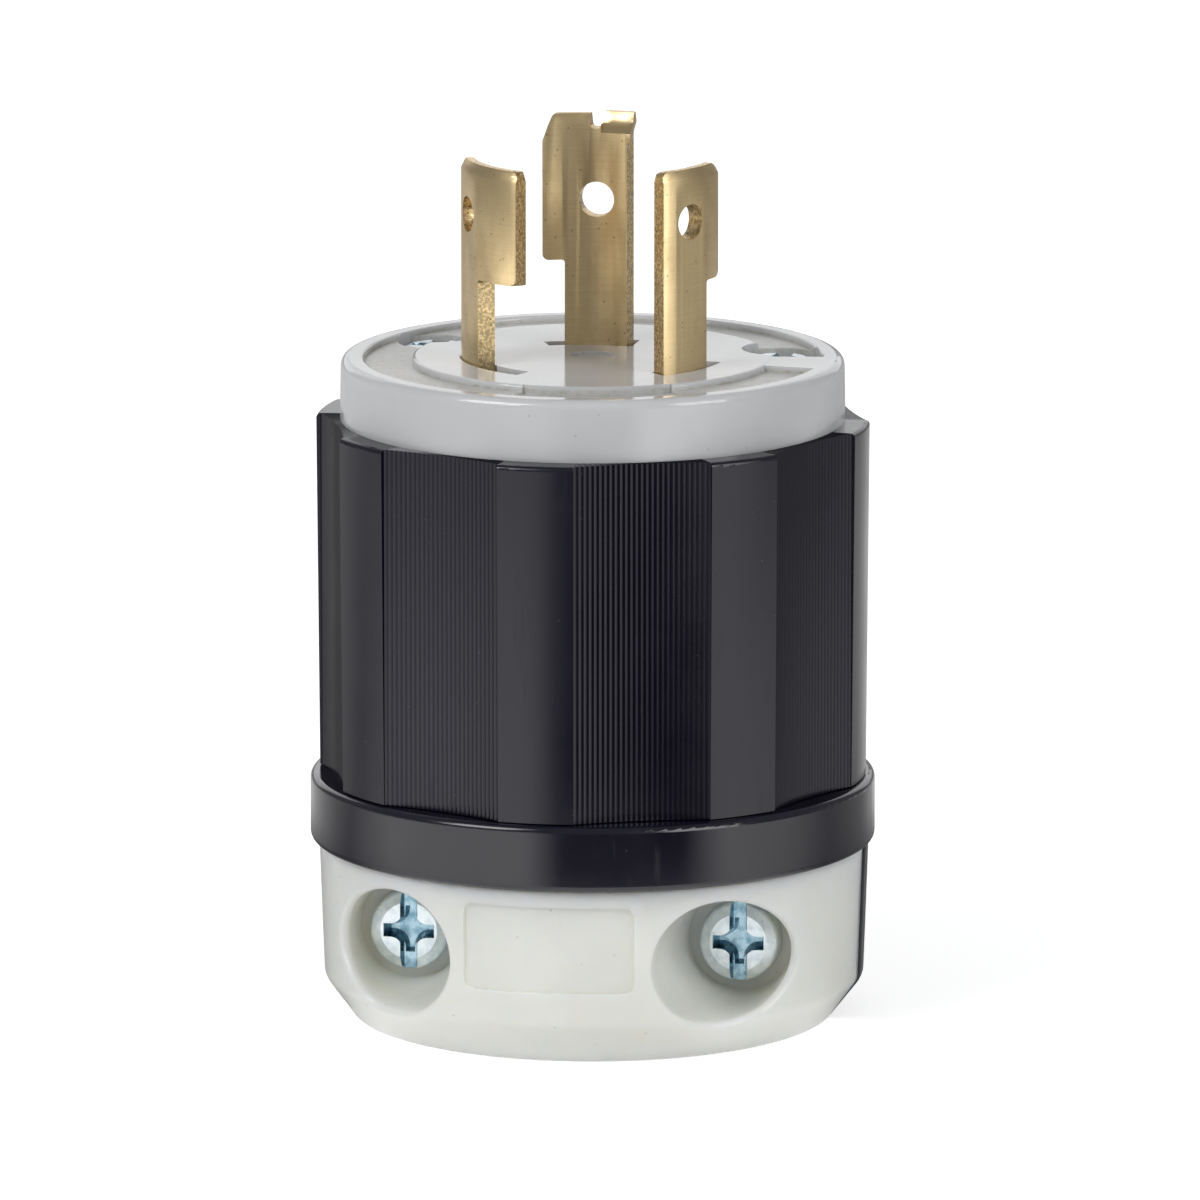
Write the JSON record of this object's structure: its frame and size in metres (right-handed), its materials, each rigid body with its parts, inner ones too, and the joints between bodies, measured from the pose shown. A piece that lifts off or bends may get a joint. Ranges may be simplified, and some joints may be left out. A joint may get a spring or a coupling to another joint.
{
  "type": "industrial plug",
  "caption": "Straight-body three-wire locking plug: bent hooked blades on a pale face, lobed ridged black sleeve, and a split cord clamp held by screws.",
  "frame": {"origin": "on the plug's axis, in the plane of its cord end", "axes": "+Z along the axis from the cord end to the blades; -Y out of the loose half of the cord clamp, where its screws are; the blades and the sleeve are turned 2.3 degrees against the clamp, as in the picture"},
  "size_m": [0.0518, 0.0518, 0.0826],
  "materials": {
    "white_nylon": "smooth moulded nylon",
    "white_clamp": "smooth moulded nylon",
    "black_sleeve": "satin moulded nylon",
    "black_housing": "smooth moulded nylon",
    "terminal_block": "moulded thermoset",
    "brass_blade": "brushed strip",
    "brass": "turned",
    "plated_steel": "zinc plated",
    "nickel": "nickel plated",
    "green_screw": "green dyed plating"
  },
  "bodies": {
    "root": {"front_cap": "white_nylon", "clamp_half": "white_clamp", "sleeve": "black_sleeve", "rear_housing": "black_housing", "terminal_block": "terminal_block", "blade_hot": "brass_blade", "blade_neutral": "brass_blade", "blade_ground": "brass_blade", "pressure_plate_hot": "plated_steel", "pressure_plate_neutral": "plated_steel", "pressure_plate_ground": "plated_steel", "terminal_screw_hot": "brass", "terminal_screw_neutral": "nickel", "terminal_screw_ground": "green_screw", "assembly_screw_left": "plated_steel", "assembly_screw_right": "plated_steel", "threaded_insert_left": "brass", "threaded_insert_right": "brass", "clamp_screw_left": "plated_steel", "clamp_screw_right": "plated_steel", "clamp_nut_left": "plated_steel", "clamp_nut_right": "plated_steel"}
  },
  "joints": []
}
